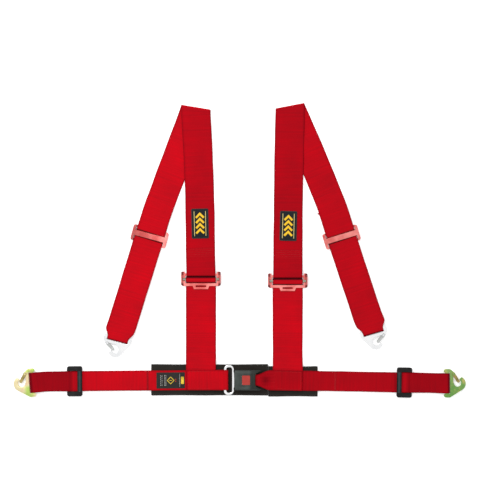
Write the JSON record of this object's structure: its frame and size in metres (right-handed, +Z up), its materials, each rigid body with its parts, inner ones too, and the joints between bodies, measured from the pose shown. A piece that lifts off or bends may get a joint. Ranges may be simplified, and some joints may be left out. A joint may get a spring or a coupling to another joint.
{
  "type": "racing harness",
  "caption": "Laid-out racing harness: padded lap straps with a push-button buckle, shoulder straps with tilting adjusters and sliders, and sprung snap hooks at the ends.",
  "frame": {"origin": "middle of the bounding box's base, on the surface that the harness lies on", "axes": "+X along the lap belt from the tongue's side to the buckle's side, +Y along the shoulder straps towards their fold, +Z up off the surface"},
  "size_m": [1.1281, 0.7364, 0.0234],
  "materials": {
    "webbing": "ribbed red polyester webbing",
    "pad": "black padded fabric",
    "patch": "woven patch",
    "label": "printed satin label",
    "chrome": "bright plated steel",
    "zinc": "yellow passivated zinc on steel",
    "anodised": "red anodised",
    "steel": "plain steel",
    "plastic": "black satin plastic",
    "button": "red plastic"
  },
  "bodies": {
    "left_lap": {"left_lap_strap": "webbing", "left_pad": "pad", "rating_label": "label", "left_lower_strap": "webbing", "left_lower_strap_end": "webbing", "left_shoulder_strap": "webbing", "left_patch": "patch"},
    "tongue": {"tongue": "chrome"},
    "buckle": {"buckle_bottom_cover": "plastic", "buckle_top_cover": "plastic", "buckle_frame": "steel", "latch_pin": "steel", "button_spring": "steel", "ejector_spring": "steel", "buckle_screw_1": "steel", "buckle_screw_2": "steel", "buckle_screw_3": "steel", "buckle_screw_4": "steel"},
    "button": {"release_button": "button"},
    "latch": {"latch": "steel"},
    "ejector": {"ejector": "plastic"},
    "right_lap": {"right_lap_strap": "webbing", "right_pad": "pad", "right_lower_strap": "webbing", "right_lower_strap_end": "webbing", "right_shoulder_strap": "webbing", "right_patch": "patch"},
    "left_adjuster": {"left_adjuster_frame": "anodised", "left_lock_wrap": "webbing"},
    "left_lock": {"left_lock_bar": "steel"},
    "left_lap_slider": {"left_lap_slider": "plastic"},
    "left_shoulder_slider": {"left_shoulder_slider": "anodised"},
    "left_lap_hook": {"left_lap_hook_plate": "zinc", "left_lap_hook_rivet": "zinc"},
    "left_lap_gate": {"left_lap_hook_gate": "zinc", "left_lap_hook_gate_spring": "steel"},
    "left_shoulder_hook": {"left_shoulder_hook_plate": "chrome", "left_shoulder_hook_rivet": "chrome"},
    "left_shoulder_gate": {"left_shoulder_hook_gate": "chrome", "left_shoulder_hook_gate_spring": "steel"},
    "right_adjuster": {"right_adjuster_frame": "anodised", "right_lock_wrap": "webbing"},
    "right_lock": {"right_lock_bar": "steel"},
    "right_lap_slider": {"right_lap_slider": "plastic"},
    "right_shoulder_slider": {"right_shoulder_slider": "anodised"},
    "right_lap_hook": {"right_lap_hook_plate": "zinc", "right_lap_hook_rivet": "zinc"},
    "right_lap_gate": {"right_lap_hook_gate": "zinc", "right_lap_hook_gate_spring": "steel"},
    "right_shoulder_hook": {"right_shoulder_hook_plate": "chrome", "right_shoulder_hook_rivet": "chrome"},
    "right_shoulder_gate": {"right_shoulder_hook_gate": "chrome", "right_shoulder_hook_gate_spring": "steel"}
  },
  "joints": [
    {"name": "tongue_swing", "type": "hinge", "parent": "left_lap", "child": "tongue", "pos_m": [-0.0357, -0.324, 0.0117], "axis": [0, -1, 0], "range_deg": [0, 45]},
    {"name": "tongue_release", "type": "slide", "parent": "tongue", "child": "buckle", "axis": [1, 0, 0], "range_m": [0, 0.045]},
    {"name": "right_lap_swing", "type": "hinge", "parent": "buckle", "child": "right_lap", "pos_m": [0.038, -0.324, 0.0117], "axis": [0, -1, 0], "range_deg": [0, 45]},
    {"name": "button_press", "type": "slide", "parent": "buckle", "child": "button", "axis": [0, 0, -1], "range_m": [0, 0.003], "stiffness_N_per_m": 500, "springref_m": -0.002, "deforming": ["button_spring"]},
    {"name": "latch_lift", "type": "hinge", "parent": "buckle", "child": "latch", "pos_m": [0.013, -0.324, 0.015], "axis": [0, 1, 0], "range_deg": [0, 18.63]},
    {"name": "ejector_slide", "type": "slide", "parent": "buckle", "child": "ejector", "axis": [-1, 0, 0], "range_m": [0, 0.007]},
    {"name": "left_adjuster_tilt", "type": "hinge", "parent": "left_lap", "child": "left_adjuster", "pos_m": [-0.0963, -0.0615, 0.00545], "axis": [-1, 0, 0], "range_deg": [0, 30]},
    {"name": "left_lock_slide", "type": "slide", "parent": "left_adjuster", "child": "left_lock", "axis": [0, -1, 0], "range_m": [0, 0.003]},
    {"name": "left_lap_slider_slide", "type": "slide", "parent": "left_lap", "child": "left_lap_slider", "axis": [-1, -0.0096, 0], "range_m": [-0.14, 0.045]},
    {"name": "left_shoulder_slider_slide", "type": "slide", "parent": "left_lap", "child": "left_shoulder_slider", "axis": [-0.2957, -0.9553, 0], "range_m": [-0.05, 0.06]},
    {"name": "left_lap_hook_swing", "type": "hinge", "parent": "left_lap", "child": "left_lap_hook", "pos_m": [-0.5173, -0.331, 0.0069], "axis": [-0.0802, 0.9968, 0], "range_deg": [-5, 90]},
    {"name": "left_lap_gate_open", "type": "hinge", "parent": "left_lap_hook", "child": "left_lap_gate", "pos_m": [-0.53555, -0.3099, 0.0069], "axis": [0, 0, 1], "range_deg": [0, 35], "stiffness_Nm_per_rad": 0.02, "springref_deg": -11.46},
    {"name": "left_shoulder_hook_swing", "type": "hinge", "parent": "left_lap", "child": "left_shoulder_hook", "pos_m": [-0.304, -0.2218, 0.0069], "axis": [-0.9668, 0.2554, 0], "range_deg": [-5, 90]},
    {"name": "left_shoulder_gate_open", "type": "hinge", "parent": "left_shoulder_hook", "child": "left_shoulder_gate", "pos_m": [-0.32997, -0.23201, 0.0069], "axis": [0, 0, 1], "range_deg": [0, 35], "stiffness_Nm_per_rad": 0.02, "springref_deg": -11.46},
    {"name": "right_adjuster_tilt", "type": "hinge", "parent": "right_lap", "child": "right_adjuster", "pos_m": [0.1204, -0.0661, 0.00545], "axis": [-1, 0, 0], "range_deg": [0, 30]},
    {"name": "right_lock_slide", "type": "slide", "parent": "right_adjuster", "child": "right_lock", "axis": [0, -1, 0], "range_m": [0, 0.003]},
    {"name": "right_lap_slider_slide", "type": "slide", "parent": "right_lap", "child": "right_lap_slider", "axis": [0.9998, -0.0183, 0], "range_m": [-0.14, 0.045]},
    {"name": "right_shoulder_slider_slide", "type": "slide", "parent": "right_lap", "child": "right_shoulder_slider", "axis": [0.3123, -0.95, 0], "range_m": [-0.05, 0.06]},
    {"name": "right_lap_hook_swing", "type": "hinge", "parent": "right_lap", "child": "right_lap_hook", "pos_m": [0.518, -0.3326, 0.0069], "axis": [0.0105, -0.9999, 0], "range_deg": [-5, 90]},
    {"name": "right_lap_gate_open", "type": "hinge", "parent": "right_lap_hook", "child": "right_lap_gate", "pos_m": [0.53426, -0.30993, 0.0069], "axis": [0, 0, -1], "range_deg": [0, 35], "stiffness_Nm_per_rad": 0.02, "springref_deg": -11.46},
    {"name": "right_shoulder_hook_swing", "type": "hinge", "parent": "right_lap", "child": "right_shoulder_hook", "pos_m": [0.3332, -0.2028, 0.0069], "axis": [-0.9603, -0.279, 0], "range_deg": [-5, 90]},
    {"name": "right_shoulder_gate_open", "type": "hinge", "parent": "right_shoulder_hook", "child": "right_shoulder_gate", "pos_m": [0.35941, -0.21237, 0.0069], "axis": [0, 0, -1], "range_deg": [0, 35], "stiffness_Nm_per_rad": 0.02, "springref_deg": -11.46}
  ],
  "couplings": [
    {"joint": "latch_lift", "follows": "button_press", "rad_per_m": 106.67},
    {"joint": "ejector_slide", "follows": "tongue_release", "ratio": 0.15}
  ]
}
